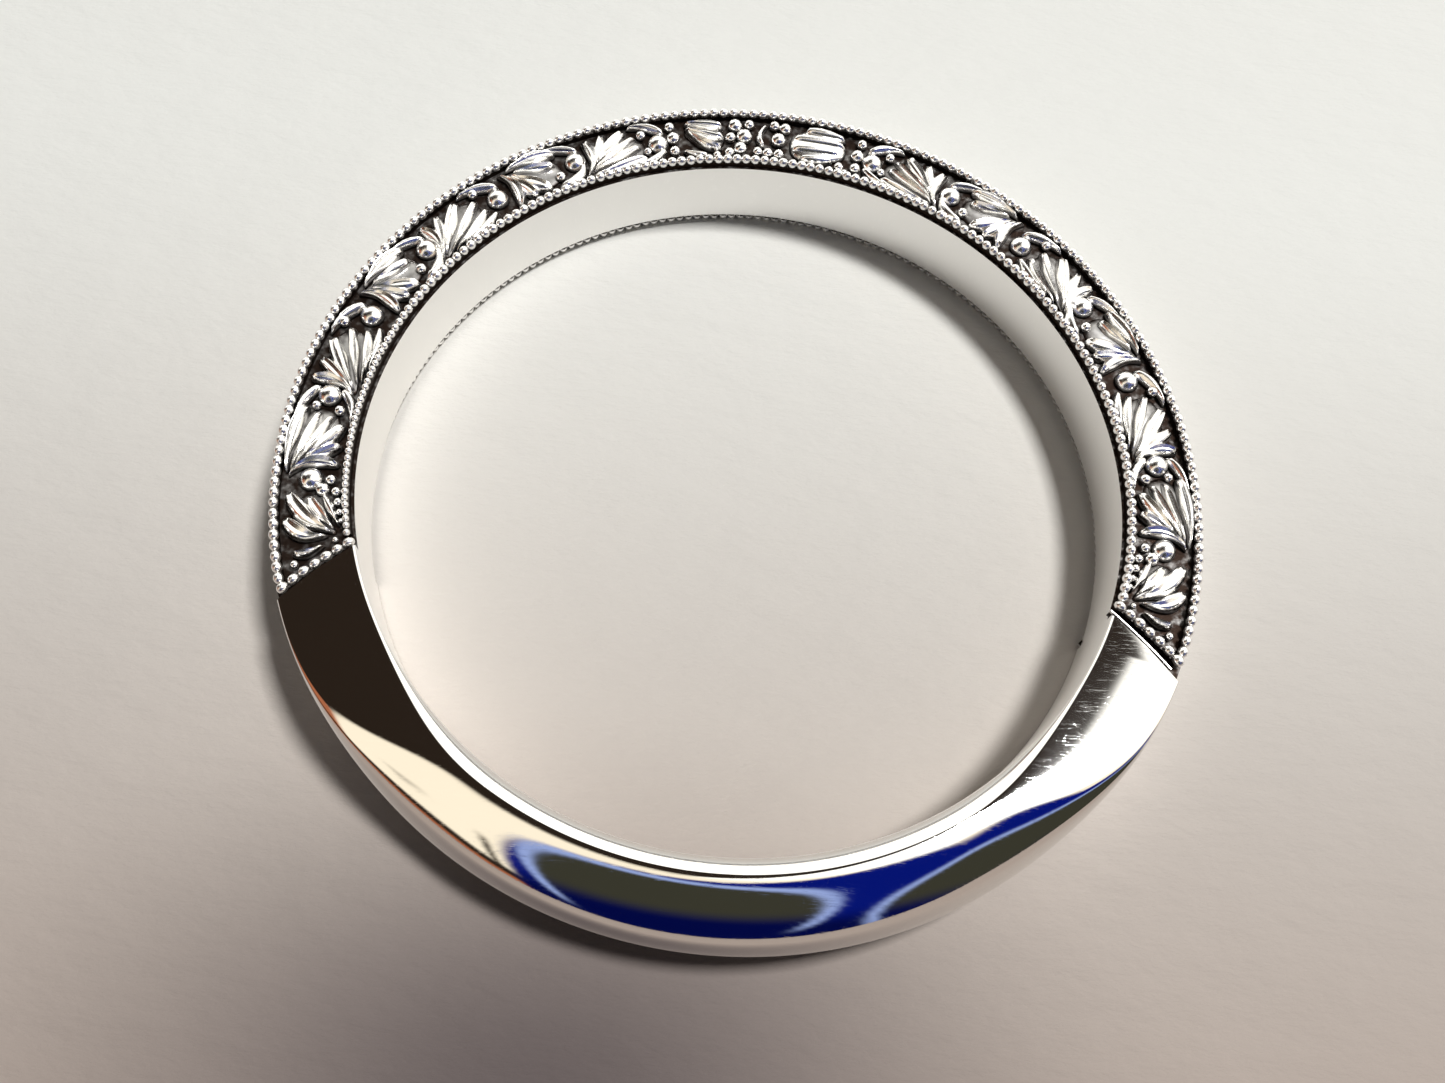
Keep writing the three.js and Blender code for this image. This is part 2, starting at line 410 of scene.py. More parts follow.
def spin_hoop():
    points = 4 * CORNER_POINTS
    bpy.ops.mesh.primitive_circle_add(
        vertices=points, radius=WALL / 2 * MM, rotation=(math.pi / 2, 0, 0),
        location=(MIDDLE * MM, 0, WIDTH / 2 * MM),
    )
    hoop = start_piece("hoop_polished")
    bpy.ops.object.transform_apply(location=True, rotation=True, scale=True)
    number = hoop.data.attributes.new("section_number", "INT", "POINT")
    for index in range(points):
        number.data[index].value = index
    edit(
        hoop,
        lambda: bpy.ops.mesh.spin(
            steps=STEPS_ROUND, angle=2 * math.pi, center=(0, 0, 0), axis=(0, 0, 1)
        ),
    )
    shape_section(hoop)
    edit(
        hoop,
        lambda: bpy.ops.mesh.remove_doubles(threshold=0.0005 * MM),
        lambda: bpy.ops.mesh.normals_make_consistent(inside=False),
    )
    return hoop


def shape_section(hoop):
    numbers = [item.value for item in hoop.data.attributes["section_number"].data]
    for vertex in hoop.data.vertices:
        angle = math.atan2(vertex.co.y, vertex.co.x)
        from_crown = abs(math.degrees(math.pi / 2 - angle))
        from_crown = min(from_crown, 360 - from_crown)
        radius, height = section_point(from_crown, numbers[vertex.index])
        vertex.co = Vector((radius * math.cos(angle), radius * math.sin(angle), height)) * MM


hoop = spin_hoop()
print("hoop faces:", len(hoop.data.polygons))

# %% [markdown]
# ## The sunk ground
#
# The graver takes the ground down inside slanting ends. A cutter of that shape is modelled flat,
# bent round the hoop, and taken away with a boolean. The same bend serves for every other flat
# piece, so it is a helper: x runs along the hoop from the crown, y outwards, z up from the ground.

# %% Bend a flat piece round the hoop
def bend_round(piece, side):
    for vertex in piece.data.vertices:
        along, out, up = vertex.co / MM
        x, y = at_angle(MIDDLE + out, math.degrees(along / MIDDLE))
        height = WIDTH / 2 + side * (WIDTH / 2 - SUNK + up)
        vertex.co = Vector((x, y, height)) * MM
    if side < 0:
        piece.data.flip_normals()
    piece.data.update()


def row_angle(radius):
    """The end row's angle from the crown at a radius."""
    return blend(END_ROW_INNER, END_ROW_OUTER, (radius - BORE) / WALL)


# %% Cut the ground
def make_cutter(side):
    margin = 0.4
    height = 0.8
    bpy.ops.mesh.primitive_grid_add(x_subdivisions=STEPS_ROUND // 2, y_subdivisions=2, size=2)
    cutter = start_piece("ground_cutter")
    edit(
        cutter,
        lambda: bpy.ops.mesh.extrude_region_move(TRANSFORM_OT_translate={"value": (0, 0, height)}),
        lambda: bpy.ops.mesh.select_all(action="SELECT"),
        lambda: bpy.ops.mesh.normals_make_consistent(inside=False),
    )
    for vertex in cutter.data.vertices:
        radius = MIDDLE + vertex.co.y * (WALL / 2 + margin)
        hand = 1 if vertex.co.x > 0 else -1
        reach = row_angle(radius) + END_TRENCH[hand]
        vertex.co = Vector((arc(vertex.co.x * reach), radius - MIDDLE, vertex.co.z)) * MM
    bend_round(cutter, side)
    return cutter


def cut_ground(hoop):
    for side in SIDES.values():
        cutter = make_cutter(side)
        select_only(hoop)
        cut = hoop.modifiers.new("sunk ground", "BOOLEAN")
        cut.object = cutter
        cut.operation = "DIFFERENCE"
        cut.solver = "EXACT"
        bpy.ops.object.modifier_apply(modifier=cut.name)
        bpy.data.objects.remove(cutter)


def paint_hoop(hoop):
    """Sort the hoop's faces into polished metal, satin bore and sunk ground."""
    hoop.data.materials.clear()
    for material in (POLISHED, SATIN_BORE, GROUND_METAL):
        hoop.data.materials.append(material)
    for face in hoop.data.polygons:
        centre = face.center / MM
        off_middle = abs(centre.z - WIDTH / 2)
        carved = centre.y > OUTER * math.cos(math.radians(END_ROW_OUTER + 3))
        on_ground = carved and abs(off_middle - (WIDTH / 2 - SUNK)) < 0.01 and abs(face.normal.z) > 0.9
        in_bore = math.hypot(centre.x, centre.y) < BORE + 0.02
        face.material_index = 2 if on_ground else 1 if in_bore else 0


cut_ground(hoop)
paint_hoop(hoop)
select_only(hoop)
bpy.ops.object.shade_smooth_by_angle(angle=math.radians(32))
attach(hoop, "root")
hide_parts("hoop")
print("hoop faces after the cut:", len(hoop.data.polygons))

# %% [markdown]
# ## Milgrain
#
# A milgrain border is a thin ridge that a small knurled wheel has rolled into a row of beads. So
# one row is a low ridge with round beads on it, a little uneven as by hand. One bead is modelled
# with few faces and copied all along; the ridge is a box cut into short lengths, so that it bends.

# %% One bead and one ridge
RIDGE_TOP = 0.12
ACROSS = 0.88
FINE_PART = (0.12, 0.22)
RANDOM = random.Random(7)


def make_bead():
    bpy.ops.mesh.primitive_uv_sphere_add(segments=12, ring_count=7, radius=BEAD / 2 * MM)
    bead = start_piece("bead")
    edit(bead, lambda: bpy.ops.transform.resize(value=(1, ACROSS, 1), center_override=(0, 0, 0)))
    return bead


def make_ridge(length, pieces):
    bpy.ops.mesh.primitive_grid_add(x_subdivisions=pieces, y_subdivisions=1, size=2)
    ridge = start_piece("ridge")
    for vertex in ridge.data.vertices:
        vertex.co = Vector((vertex.co.x * length / 2, vertex.co.y * BEAD * 0.36, -0.02)) * MM
    edit(
        ridge,
        lambda: bpy.ops.mesh.extrude_region_move(
            TRANSFORM_OT_translate={"value": (0, 0, (RIDGE_TOP + 0.02) * MM)}
        ),
        lambda: bpy.ops.transform.resize(value=(1, 0.7, 1), center_override=(0, 0, 0)),
        lambda: bpy.ops.mesh.select_all(action="SELECT"),
        lambda: bpy.ops.mesh.normals_make_consistent(inside=False),
    )
    return ridge


def copy_piece(piece, name):
    twin = piece.copy()
    twin.data = piece.data.copy()
    twin.name = twin.data.name = name
    bpy.context.scene.collection.objects.link(twin)
    return twin


def bead_places(length, pitch, finest):
    """Place and share of full size of each bead; the row's left end is cut with a finer wheel."""
    places = []
    along = 0.0
    while along < length:
        share = blend(finest, 1.0, smooth(along / length, *FINE_PART))
        places.append((along, share))
        along += pitch * share
    fit = length / places[-1][0]
    return [(along * fit - length / 2, share) for along, share in places]


def bead_row(name, length, pitch, finest=1.0):
    """A straight row along x, its middle at x = 0, on a ridge that ends inside the last beads."""
    places = bead_places(length, pitch, finest)
    bead = make_bead()
    row = [make_ridge(length, len(places))]
    for along, share in places:
        copy = copy_piece(bead, "bead_copy")
        size = RANDOM.uniform(0.94, 1.03) * share
        stretch = pitch / BEAD * 1.05
        along += RANDOM.uniform(-0.006, 0.006)
        up = SUNK - BEAD / 2 * size - 0.005
        copy.data.transform(Matrix.Diagonal((size * stretch, size, size, 1)))
        copy.data.transform(Matrix.Translation(Vector((along, RANDOM.uniform(-0.004, 0.004), up)) * MM))
        row.append(copy)
    bpy.data.objects.remove(bead)
    return join(row, name)


def finish_piece(piece, material, node, angle=50):
    piece.data.materials.clear()
    piece.data.materials.append(material)
    for face in piece.data.polygons:
        face.material_index = 0
    select_only(piece)
    bpy.ops.object.shade_smooth_by_angle(angle=math.radians(angle))
    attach(piece, "root")
    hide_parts(node)


# %% [markdown]
# ## Laying the rows
#
# The two borders follow the bore and the outer edge. The two end rows slant across the side. All
# are made straight and flat, then bent round with the same helper as the cutter.

# %% Lay the eight rows
INNER_ROW = BORE + BEAD / 2 + 0.03
OUTER_ROW = OUTER - BEAD / 2 + 0.02
INNER_PITCH = 0.225
OUTER_PITCH = 0.245


def lay_border(place, side, edge, radius, pitch, finest=1.0):
    half_span = row_angle(radius)
    length = 2 * math.radians(half_span) * radius - 2 * pitch
    name = "milgrain_" + edge + "_" + place
    row = bead_row("beads_" + edge + "_" + place, length, pitch, finest)
    row.data.transform(Matrix.Diagonal((MIDDLE / radius, 1, 1, 1)))
    row.data.transform(Matrix.Translation(Vector((0, radius - MIDDLE, 0)) * MM))
    bend_round(row, side)
    finish_piece(row, BEAD_METAL, name)
    return row


def lay_end(place, side, turn, hand):
    run = arc(END_ROW_OUTER - END_ROW_INNER)
    length = math.hypot(run, WALL) - BEAD * 1.25
    row = bead_row("beads_end_" + place + "_" + turn, length, BEAD * 1.04)
    if hand > 0:
        scribed = make_ridge(length * 1.06, 12)
        scribed.data.transform(Matrix.Diagonal((1, 0.22, 1.9, 1)))
        scribed.data.transform(Matrix.Translation((-0.02 * MM, -0.26 * MM, 0)))
        row = join([row, scribed], row.name)
    row.data.transform(Matrix.Rotation(math.atan2(WALL, run), 4, "Z"))
    row.data.transform(Matrix.Translation(Vector((arc((END_ROW_INNER + END_ROW_OUTER) / 2), 0, 0)) * MM))
    if hand < 0:
        row.data.transform(Matrix.Diagonal((-1, 1, 1, 1)))
        row.data.flip_normals()
    bend_round(row, side)
    finish_piece(row, BEAD_METAL, "milgrain_end_" + place + "_" + turn)
    return row


for place, side in SIDES.items():
    lay_border(place, side, "inner", INNER_ROW, INNER_PITCH, 0.70)
    lay_border(place, side, "outer", OUTER_ROW, OUTER_PITCH)
    for turn, hand in HANDS.items():
        lay_end(place, side, turn, hand)
print("bead rows laid:", 8)

# %% [markdown]
# ## One carved lobe
#
# The engraver leaves each lobe of a leaf standing as a rounded, pointed grain and lines it with
# fine cuts. A ball is the nearest primitive: its poles become root and tip, and its points are then
# moved along a bent line, narrow at the root, full towards the tip, with shallow cuts lengthwise.

# %% Lobe and ball
LOBE_AROUND = 28
LOBE_ALONG = 14
LEAF_TOP = 0.27


def on_curve(root, bend, tip, share):
    """Point and sideways direction on a quadratic curve."""
    back = 1 - share
    point = back * back * root + 2 * back * share * bend + share * share * tip
    ahead = 2 * back * (bend - root) + 2 * share * (tip - bend)
    return point, Vector((-ahead.y, ahead.x)).normalized()


def lobe(root, bend, tip, width, cuts=2, height=LEAF_TOP, narrow=0.35):
    root, bend, tip = Vector(root), Vector(bend), Vector(tip)
    bpy.ops.mesh.primitive_uv_sphere_add(
        segments=LOBE_AROUND, ring_count=LOBE_ALONG, radius=1.0, rotation=(0, math.pi / 2, 0)
    )
    grain = start_piece("lobe")
    bpy.ops.object.transform_apply(rotation=True)
    for vertex in grain.data.vertices:
        share = (vertex.co.x + 1) / 2
        girth = math.sqrt(max(1e-6, 1 - vertex.co.x ** 2))
        across = max(-1.0, min(1.0, vertex.co.y / girth))
        full = blend(narrow, 1.0, smooth(share, 0.0, 0.75)) * girth ** 0.8
        point, sideways = on_curve(root, bend, tip, share)
        place = point + sideways * (across * full * width / 2)
        cut = (0.5 - 0.5 * math.cos(math.pi * 2 * cuts * (across + 1) / 2)) if cuts else 1.0
        rise = height * (0.72 + 0.28 * full) * (0.80 + 0.20 * cut)
        crest = max(0.0, 1 - abs(across) ** 3) ** 0.5 * min(1.0, girth * 1.6)
        up = rise * crest if vertex.co.z > 0 else -0.03
        vertex.co = Vector((place.x, place.y, up)) * MM
    return grain


def ball(place, size, height=LEAF_TOP):
    bpy.ops.mesh.primitive_uv_sphere_add(segments=14, ring_count=9, radius=1.0)
    grain = start_piece("ball")
    for vertex in grain.data.vertices:
        up = vertex.co.z * size + height - size
        vertex.co = Vector((place[0] + vertex.co.x * size, place[1] + vertex.co.y * size, up)) * MM
    return grain


# %% [markdown]
# ## The scroll leaves
#
# A running scroll repeats one thought: from a root on one edge, lobes fan out along the hoop, the
# first one hugs the hollow of the leaf before, and the last one curls round a ball in a dark hollow
# of its own. The next leaf roots on the other edge. No two are cut quite alike by hand, so there
# are three versions. They are drawn flat, in millimetres: x from the crown's end of the cell to the
# root's end, y from the middle of the side outwards, the root on the inner edge.

# %% Versions of the leaf
def slender_leaf():
    return [
        lobe((2.60, -0.50), (1.90, -0.24), (1.00, 0.12), 1.00, cuts=7, height=0.09, narrow=0.3),
        lobe((2.66, -0.52), (2.10, -0.10), (2.44, 0.52), 0.34),
        lobe((2.57, -0.56), (1.76, -0.62), (0.98, -0.42), 0.36, cuts=3),
        lobe((2.52, -0.48), (1.82, -0.26), (1.10, -0.06), 0.24),
        lobe((2.46, -0.42), (1.84, -0.08), (1.16, 0.24), 0.22),
        lobe((2.30, -0.24), (1.95, 0.14), (1.38, 0.50), 0.38),
        lobe((2.42, -0.30), (2.14, 0.10), (1.92, 0.54), 0.30),
        lobe((1.34, 0.58), (0.80, 0.62), (0.50, 0.20), 0.28, cuts=1, height=0.25, narrow=0.5),
        lobe((1.50, -0.60), (0.84, -0.62), (0.50, -0.24), 0.24, cuts=1, height=0.24, narrow=0.5),
        ball((0.68, -0.02), 0.27),
        ball((1.04, 0.30), 0.12, 0.22),
        ball((0.98, -0.22), 0.10, 0.20),
    ]


def broad_leaf():
    return [
        lobe((2.68, -0.46), (1.95, -0.10), (1.10, 0.20), 1.00, cuts=7, height=0.09, narrow=0.3),
        lobe((2.76, -0.48), (2.24, 0.04), (2.56, 0.54), 0.32),
        lobe((2.70, -0.46), (2.24, 0.02), (2.02, 0.54), 0.34),
        lobe((2.60, -0.44), (2.00, 0.02), (1.44, 0.52), 0.40, cuts=3),
        lobe((2.46, -0.48), (1.70, -0.18), (1.06, 0.24), 0.30),
        lobe((2.40, -0.54), (1.60, -0.46), (0.98, -0.14), 0.26),
        lobe((2.05, -0.58), (1.40, -0.62), (0.84, -0.36), 0.26, cuts=1),
        lobe((1.40, 0.58), (0.78, 0.62), (0.44, 0.20), 0.30, cuts=1, height=0.25, narrow=0.5),
        ball((0.63, -0.02), 0.28),
        ball((1.02, 0.44), 0.12, 0.22),
    ]


def shell_leaf():
    return [
        lobe((2.40, -0.50), (1.80, -0.10), (1.00, 0.05), 1.00, cuts=7, height=0.09, narrow=0.3),
        lobe((2.44, -0.54), (2.04, 0.00), (2.44, 0.54), 0.34),
        lobe((2.32, -0.44), (2.02, 0.10), (1.94, 0.54), 0.36),
        lobe((2.20, -0.38), (1.88, 0.06), (1.48, 0.50), 0.44),
        lobe((2.22, -0.54), (1.60, -0.64), (0.98, -0.42), 0.38, cuts=3),
        lobe((2.10, -0.42), (1.60, -0.24), (1.12, -0.10), 0.30),
        lobe((0.46, 0.12), (0.62, 0.62), (1.34, 0.56), 0.34, cuts=1, narrow=0.6),
        lobe((1.46, -0.60), (0.80, -0.62), (0.46, -0.22), 0.24, cuts=1, height=0.24, narrow=0.5),
        ball((0.63, -0.02), 0.28),
        ball((1.14, 0.24), 0.13, 0.22),
    ]


def last_leaf():
    return [
        lobe((1.92, -0.46), (1.50, 0.00), (0.94, 0.20), 0.90, cuts=6, height=0.09, narrow=0.3),
        lobe((1.90, -0.40), (1.58, 0.12), (0.84, 0.50), 0.45),
        lobe((1.96, -0.30), (2.00, 0.24), (1.42, 0.56), 0.41),
        lobe((1.84, -0.44), (1.45, -0.18), (0.98, 0.06), 0.30),
        lobe((1.78, -0.54), (1.40, -0.42), (0.96, -0.24), 0.22, cuts=1),
        ball((0.58, 0.04), 0.27),
        ball((0.86, -0.22), 0.15, 0.25),
        ball((0.62, -0.38), 0.12, 0.2),
        ball((0.92, -0.50), 0.11, 0.19),
        ball((1.18, -0.54), 0.10, 0.18),
        ball((1.44, -0.57), 0.08, 0.17),
        ball((1.66, -0.59), 0.06, 0.16),
    ]


VERSIONS = (shell_leaf, slender_leaf, broad_leaf, last_leaf)
LEAF_VERSIONS = [join(cut(), cut.__name__) for cut in VERSIONS]
ORDER = (1, 0, 2, 0, 2, 1, 3)
print("faces in each version:", [len(leaf.data.polygons) for leaf in LEAF_VERSIONS])

# %% [markdown]
# ## Setting the leaves round the hoop
#
# Each copy is slid to its cell, flipped across the side if it roots on the outer edge, mirrored if
# it is on the left of the crown, and bent round. A mirrored mesh is turned right side out again.

# %% Lay the leaves
def lay_carving(pattern, name, node, side, start=0.0, hand=1, flipped=False):
    carving = copy_piece(pattern, name)
    carving.data.transform(Matrix.Diagonal((1, -1 if flipped else 1, 1, 1)))
    carving.data.transform(Matrix.Translation((start * MM, 0, 0)))
    carving.data.transform(Matrix.Diagonal((hand, 1, 1, 1)))
    if flipped != (hand < 0):
        carving.data.flip_normals()
    bend_round(carving, side)
    finish_piece(carving, LEAF_METAL, node)
    return carving


for place, side in SIDES.items():
    for turn, hand in HANDS.items():
        for number in range(LEAVES):
            ending = place + "_" + turn + "_" + str(number + 1)
            lay_carving(
                LEAF_VERSIONS[ORDER[number]], "carved_" + ending, "scroll_" + ending, side,
                arc(CENTRE_HALF) + number * CELL, hand, number % 2 == 1,
            )
print("leaves laid:", 4 * LEAVES)

# %% [markdown]
# ## Crown and corners
#
# The scrolls run to the crown from both sides and meet at a shell, a knot of balls and one long
# leaf. In each slanting corner one small leaf fills what is left beside the end row.

# %% Crown group and corner leaf
def crown_shell():
    return [
        lobe((2.00, 0.00), (1.30, 0.02), (0.58, -0.04), 1.10, cuts=0, height=0.20, narrow=0.7),
        lobe((1.92, 0.38), (1.40, 0.48), (0.90, 0.42), 0.36, cuts=1, narrow=0.7),
        lobe((1.98, 0.16), (1.30, 0.22), (0.62, 0.12), 0.40, cuts=1, narrow=0.7),
        lobe((1.90, -0.10), (1.25, -0.10), (0.62, -0.18), 0.38, cuts=1, narrow=0.7),
        lobe((1.74, -0.36), (1.35, -0.42), (0.86, -0.46), 0.32, cuts=1, narrow=0.7),
        ball((1.92, -0.46), 0.13, 0.23),
        ball((2.28, 0.04), 0.17, 0.25),
        ball((2.30, 0.44), 0.13, 0.22),
        ball((2.32, -0.34), 0.15, 0.21),
        ball((2.10, -0.56), 0.08, 0.18),
    ]


def crown_knot():
    return [
        ball((0.30, 0.04), 0.19),
        ball((0.44, 0.42), 0.15, 0.24),
        ball((0.18, 0.48), 0.13, 0.22),
        ball((0.34, -0.40), 0.14, 0.22),
        ball((0.06, -0.40), 0.14, 0.23),
        ball((-0.20, -0.38), 0.13, 0.22),
        lobe((0.02, 0.48), (-0.32, 0.08), (-0.04, -0.24), 0.20, cuts=1, height=0.24, narrow=0.6),
        ball((-0.54, 0.08), 0.21),
        ball((-0.76, 0.40), 0.18),
        ball((-0.42, 0.46), 0.13, 0.22),
        ball((-0.64, -0.32), 0.18),
        ball((-0.92, -0.44), 0.13, 0.22),
        ball((-0.88, 0.02), 0.13, 0.24),
    ]


def crown_leaf():
    return [
        lobe((-1.98, 0.30), (-1.55, 0.06), (-1.02, 0.00), 0.86, cuts=5, height=0.09, narrow=0.5),
        lobe((-1.98, 0.48), (-1.50, 0.40), (-1.04, 0.32), 0.34, cuts=3, narrow=0.6),
        lobe((-1.98, 0.36), (-1.60, 0.06), (-1.02, -0.02), 0.34, cuts=3),
        lobe((-1.96, 0.28), (-1.66, -0.22), (-1.10, -0.34), 0.28),
        ball((-1.24, -0.52), 0.11, 0.20),
        lobe((-2.10, -0.34), (-1.80, -0.52), (-1.46, -0.52), 0.22, cuts=1, height=0.22, narrow=0.6),
        ball((-2.28, 0.08), 0.17, 0.25),
        ball((-2.32, 0.44), 0.13, 0.22),
        ball((-2.30, -0.32), 0.14, 0.22),
    ]


def corner_leaf():
    reach = arc(END_ROW_INNER)
    return [
        lobe((reach - 0.02, -0.22), (reach + 0.16, 0.08), (reach + 0.06, 0.44), 0.21),
        ball((reach + 0.28, 0.42), 0.09, 0.20),
        ball((reach - 0.10, -0.44), 0.07, 0.16),
    ]


SINGLES = {
    "crown_fan": join(crown_shell(), "crown_shell"),
    "crown_knot": join(crown_knot(), "crown_knot"),
    "crown_leaf": join(crown_leaf(), "crown_leaf"),
}
CORNER = join(corner_leaf(), "corner_leaf")
for place, side in SIDES.items():
    for node, pattern in SINGLES.items():
        lay_carving(pattern, "carved_" + node + "_" + place, node + "_" + place, side)
    for turn, hand in HANDS.items():
        ending = place + "_" + turn
        lay_carving(CORNER, "carved_corner_" + ending, "end_leaf_" + ending, side, hand=hand)
for pattern in LEAF_VERSIONS + list(SINGLES.values()) + [CORNER]:
    bpy.data.objects.remove(pattern)

# %% [markdown]
# ## Floor
#
# The band lies on a pale painted board. The paint has a fine grain like paper. Painted shade turns
# it from a warm white at the crown's end to a mauve grey in front of the shank, and a painted
# shadow, darker still, lies in an oval in front of the shank.

# %% Floor
# The second and third colours are painted shade: the board darker towards the front, and a painted shadow in front
# of the shank.
FLOOR_LIGHT = (0.84, 0.835, 0.785, 1.0)
FLOOR_FRONT_SHADE = (0.44, 0.36, 0.31, 1.0)
FLOOR_SHADE = (0.11, 0.088, 0.088, 1.0)


def make_floor():
    bpy.ops.mesh.primitive_grid_add(x_subdivisions=8, y_subdivisions=8, size=3.0)
    floor = start_piece("floor")
    material, tree, shader = new_material("painted board")
    shader.inputs["Roughness"].default_value = 0.8
    shader.inputs["Specular IOR Level"].default_value = 0.2
    place = add_node(tree, "ShaderNodeTexCoord")
    split = add_node(tree, "ShaderNodeSeparateXYZ")
    # Painted shade: the board darkens from the crown's end towards the front.
    front = add_node(
        tree, "ShaderNodeMapRange", {"From Min": 12 * MM, "From Max": -17 * MM},
        interpolation_type="SMOOTHSTEP",
    )
    tone = add_node(tree, "ShaderNodeMix", data_type="RGBA")
    tone.inputs["A"].default_value = FLOOR_LIGHT
    tone.inputs["B"].default_value = FLOOR_FRONT_SHADE
    # Painted shadow: a dark oval in front of the shank.
    spot = add_node(tree, "ShaderNodeMapping", vector_type="TEXTURE")
    spot.inputs["Location"].default_value = (-3.0 * MM, -12.5 * MM, 0)
    spot.inputs["Scale"].default_value = (13.5 * MM, 8 * MM, 1.0)
    far = add_node(tree, "ShaderNodeVectorMath", operation="LENGTH")
    shade = add_node(
        tree, "ShaderNodeMapRange", {"From Min": 1.0, "From Max": 0.0, "To Max": 0.92},
        interpolation_type="SMOOTHSTEP",
    )
    shaded = add_node(tree, "ShaderNodeMix", data_type="RGBA")
    shaded.inputs["B"].default_value = FLOOR_SHADE
    mapping = add_node(tree, "ShaderNodeMapping")
    mapping.inputs["Scale"].default_value = (1.0, 2.2, 1.0)
    grain = add_node(tree, "ShaderNodeTexNoise", {"Scale": 420.0, "Detail": 8.0, "Roughness": 0.6})
    bump = add_node(tree, "ShaderNodeBump", {"Strength": 0.5, "Distance": 0.22 * MM})
    link = tree.links.new
    link(place.outputs["Object"], split.inputs[0])
    link(split.outputs["Y"], front.inputs["Value"])
    link(front.outputs[0], tone.inputs["Factor"])
    link(place.outputs["Object"], spot.inputs["Vector"])
    link(spot.outputs[0], far.inputs[0])
    link(far.outputs["Value"], shade.inputs["Value"])
    link(shade.outputs[0], shaded.inputs["Factor"])
    link(tone.outputs["Result"], shaded.inputs["A"])
    link(shaded.outputs["Result"], shader.inputs["Base Color"])
    link(place.outputs["Object"], mapping.inputs["Vector"])
    link(mapping.outputs[0], grain.inputs["Vector"])
    link(grain.outputs["Fac"], bump.inputs["Height"])
    link(bump.outputs[0], shader.inputs["Normal"])
    floor.data.materials.append(material)
    return floor


make_floor()

# %% [markdown]
# ## The reflection tent
#
# A polished band has hardly a look of its own: it shows what is around it. So a tent stands over
# the band, far off, and its inside is painted: warm white where the window is, dark overhead and
# on the left, and in front a dark arch in a blue surround. Only reflections see the tent. The
# paint is given to the tent's points by their direction: degrees from straight up, to the right
# and to the back.

# %% Paint and pitch the tent
WINDOW_WHITE = Vector((1.5, 1.47, 1.38))
CREAM = Vector((1.15, 1.02, 0.80))
DARK_BROWN = Vector((0.024, 0.016, 0.011))
BLUE = Vector((0.002, 0.008, 0.19))
DEEP_BLUE = Vector((0.001, 0.003, 0.06))
RIM_BLUE = Vector((0.34, 0.44, 0.80))
OLIVE = Vector((0.045, 0.044, 0.030))
AMBER = Vector((0.45, 0.15, 0.07))


def in_oval(right, back, centre, reach, soft):
    """1 inside an oval on the tent, 0 outside, with a soft edge."""
    far = math.hypot((right - centre[0]) / reach[0], (back - centre[1]) / reach[1])
    return 1 - smooth(far, 1 - soft, 1 + soft)


def tent_colour(right, back):
    overhead = (1 - smooth(right - 0.62 * (back - 14), 16.8, 18.4)) * (1 - smooth(back, 26, 34))
    blue = DEEP_BLUE.lerp(BLUE, smooth(back, -78, -56))
    olive = OLIVE.lerp(DEEP_BLUE, 1 - smooth(back, -74, -56))
    colour = WINDOW_WHITE.lerp(DARK_BROWN, overhead)
    colour = colour.lerp(AMBER, in_oval(right, back, (-72, -44), (24, 36), 0.15))
    colour = colour.lerp(CREAM, in_oval(right, back, (-8, -82), (66, 69), 0.06))
    colour = colour.lerp(DARK_BROWN, in_oval(right, back, (-8, -82), (43, 65), 0.03) * smooth(-back, 46, 54) * smooth(-right, 12, 20))
    colour = colour.lerp(CREAM, in_oval(right, back, (-8, -82), (40.5, 63), 0.03))
    # Painted reflection of shade: the dark brown and amber bands low on the left stand for the shaded board close
    # to the band.
    low_left = math.hypot(right, back), smooth(-right, 28, 44)
    colour = colour.lerp(DARK_BROWN, smooth(low_left[0], 80, 84) * low_left[1])
    colour = colour.lerp(AMBER, smooth(low_left[0], 86, 89) * low_left[1])
    colour = colour.lerp(CREAM, in_oval(right, back, (80, -62), (60, 58), 0.04))
    colour = colour.lerp(blue, in_oval(right, back, (80, -62), (52, 50), 0.03))
    colour = colour.lerp(blue, in_oval(right, back, (12, -75), (57, 55), 0.04))
    colour = colour.lerp(RIM_BLUE, in_oval(right, back, (80, -60), (43, 40), 0.04))
    colour = colour.lerp(olive, in_oval(right, back, (81, -60), (41, 38), 0.04))
    colour = colour.lerp(RIM_BLUE, in_oval(right, back, (-5, -63), (32, 38), 0.04) * smooth(back, -84, -70))
    return colour.lerp(olive, in_oval(right, back, (-5, -64), (29, 35), 0.05))


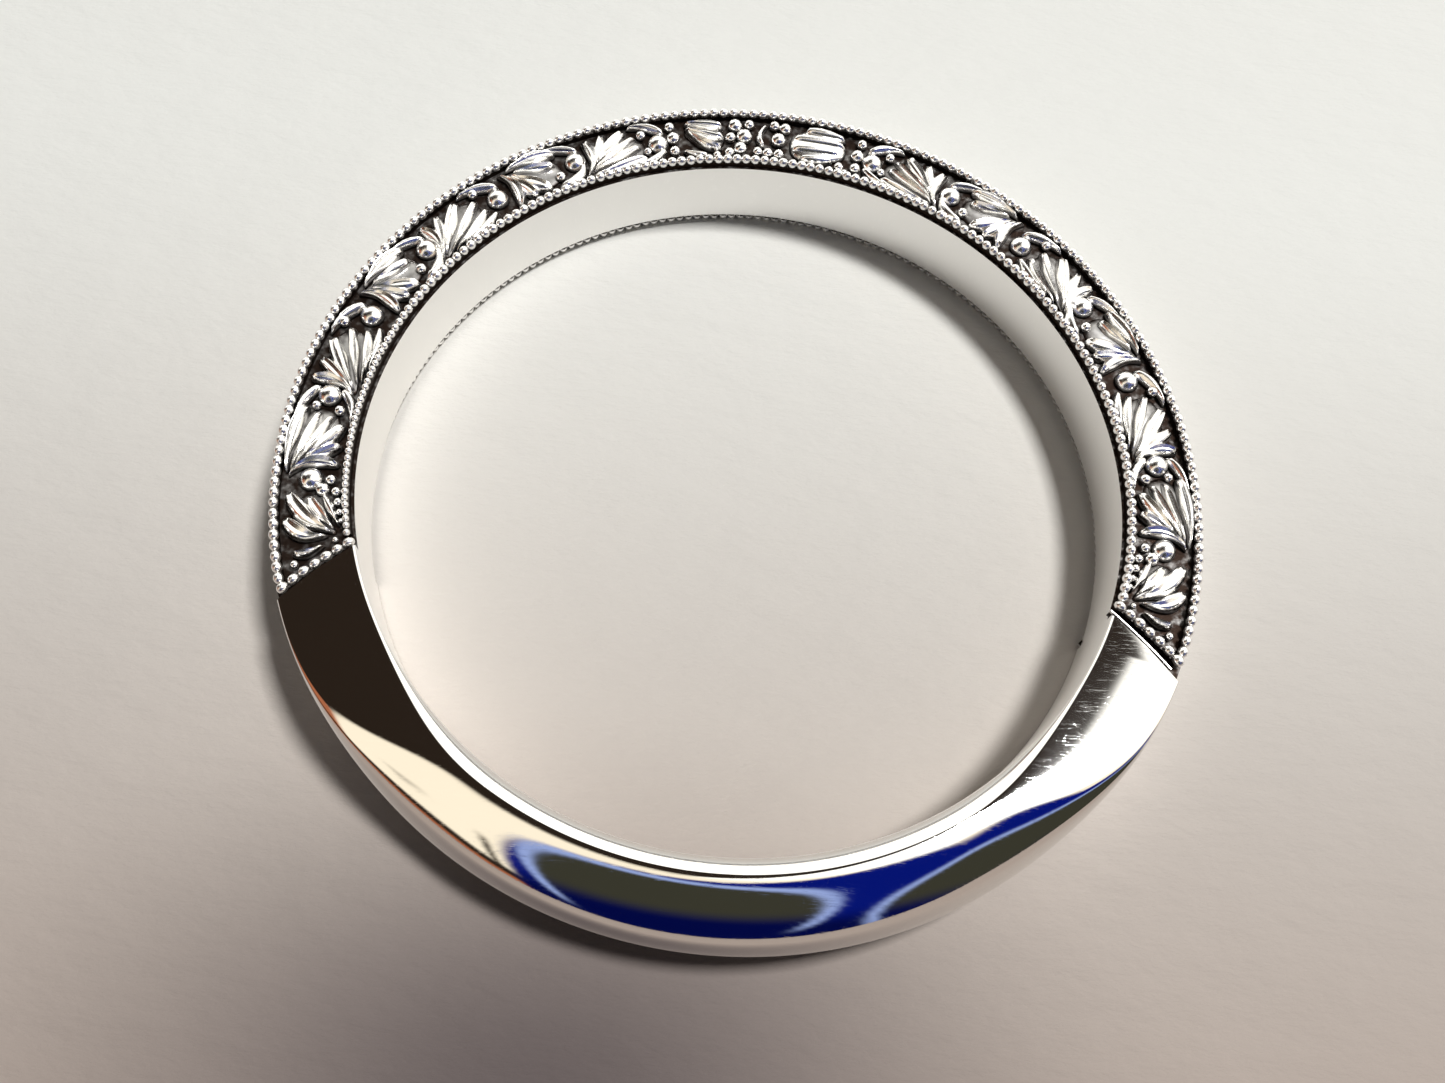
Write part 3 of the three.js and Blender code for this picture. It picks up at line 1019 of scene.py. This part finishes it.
def pitch_tent(radius):
    bpy.ops.mesh.primitive_uv_sphere_add(segments=256, ring_count=128, radius=radius)
    tent = start_piece("reflection_tent")
    paint = tent.data.color_attributes.new("paint", "FLOAT_COLOR", "POINT")
    for vertex, spot in zip(tent.data.vertices, paint.data):
        away = vertex.co.normalized()
        tilt = math.degrees(math.acos(max(-1.0, min(1.0, away.z))))
        turn = math.atan2(away.y, away.x)
        spot.color = (*tent_colour(tilt * math.cos(turn), tilt * math.sin(turn)), 1.0)
    material, tree, shader = new_material("tent paint")
    paint_node = add_node(tree, "ShaderNodeAttribute", attribute_name="paint")
    shader.inputs["Base Color"].default_value = (0, 0, 0, 1)
    shader.inputs["Specular IOR Level"].default_value = 0.0
    shader.inputs["Emission Strength"].default_value = 1.0
    tree.links.new(paint_node.outputs["Color"], shader.inputs["Emission Color"])
    material.cycles.emission_sampling = "NONE"
    tent.data.materials.append(material)
    tent.visible_camera = tent.visible_diffuse = tent.visible_shadow = False
    return tent


pitch_tent(0.7)

# %% [markdown]
# ## Lights
#
# One soft key from the back right gives the short dark shadow inside the hoop, and a weak fill
# comes from the left. The room itself adds little, so that the engraving keeps its depth.

# %% Lights
def add_softbox(name, place, size, watts):
    bpy.ops.object.light_add(type="AREA", location=Vector(place))
    light = bpy.context.object
    light.name = name
    light.data.shape = "RECTANGLE"
    light.data.size, light.data.size_y = size
    light.data.energy = watts
    light.rotation_euler = (-Vector(place)).to_track_quat("-Z", "Y").to_euler()
    light.visible_camera = False
    return light


add_softbox("key", (0.215, 0.075, 0.56), (0.12, 0.10), 3.5)
add_softbox("fill", (-0.40, 0.30, 0.35), (0.30, 0.20), 0.12)

world = bpy.data.worlds.new("soft room")
bpy.context.scene.world = world
world.use_nodes = True
background = world.node_tree.nodes["Background"]
background.inputs["Color"].default_value = (0.95, 0.96, 1.0, 1.0)
seen = add_node(world.node_tree, "ShaderNodeLightPath")
strength = add_node(world.node_tree, "ShaderNodeMapRange", {"To Min": 0.07, "To Max": 0.8})
world.node_tree.links.new(seen.outputs["Is Camera Ray"], strength.inputs["Value"])
world.node_tree.links.new(strength.outputs[0], background.inputs["Strength"])
bpy.context.scene.view_settings.view_transform = "Standard"
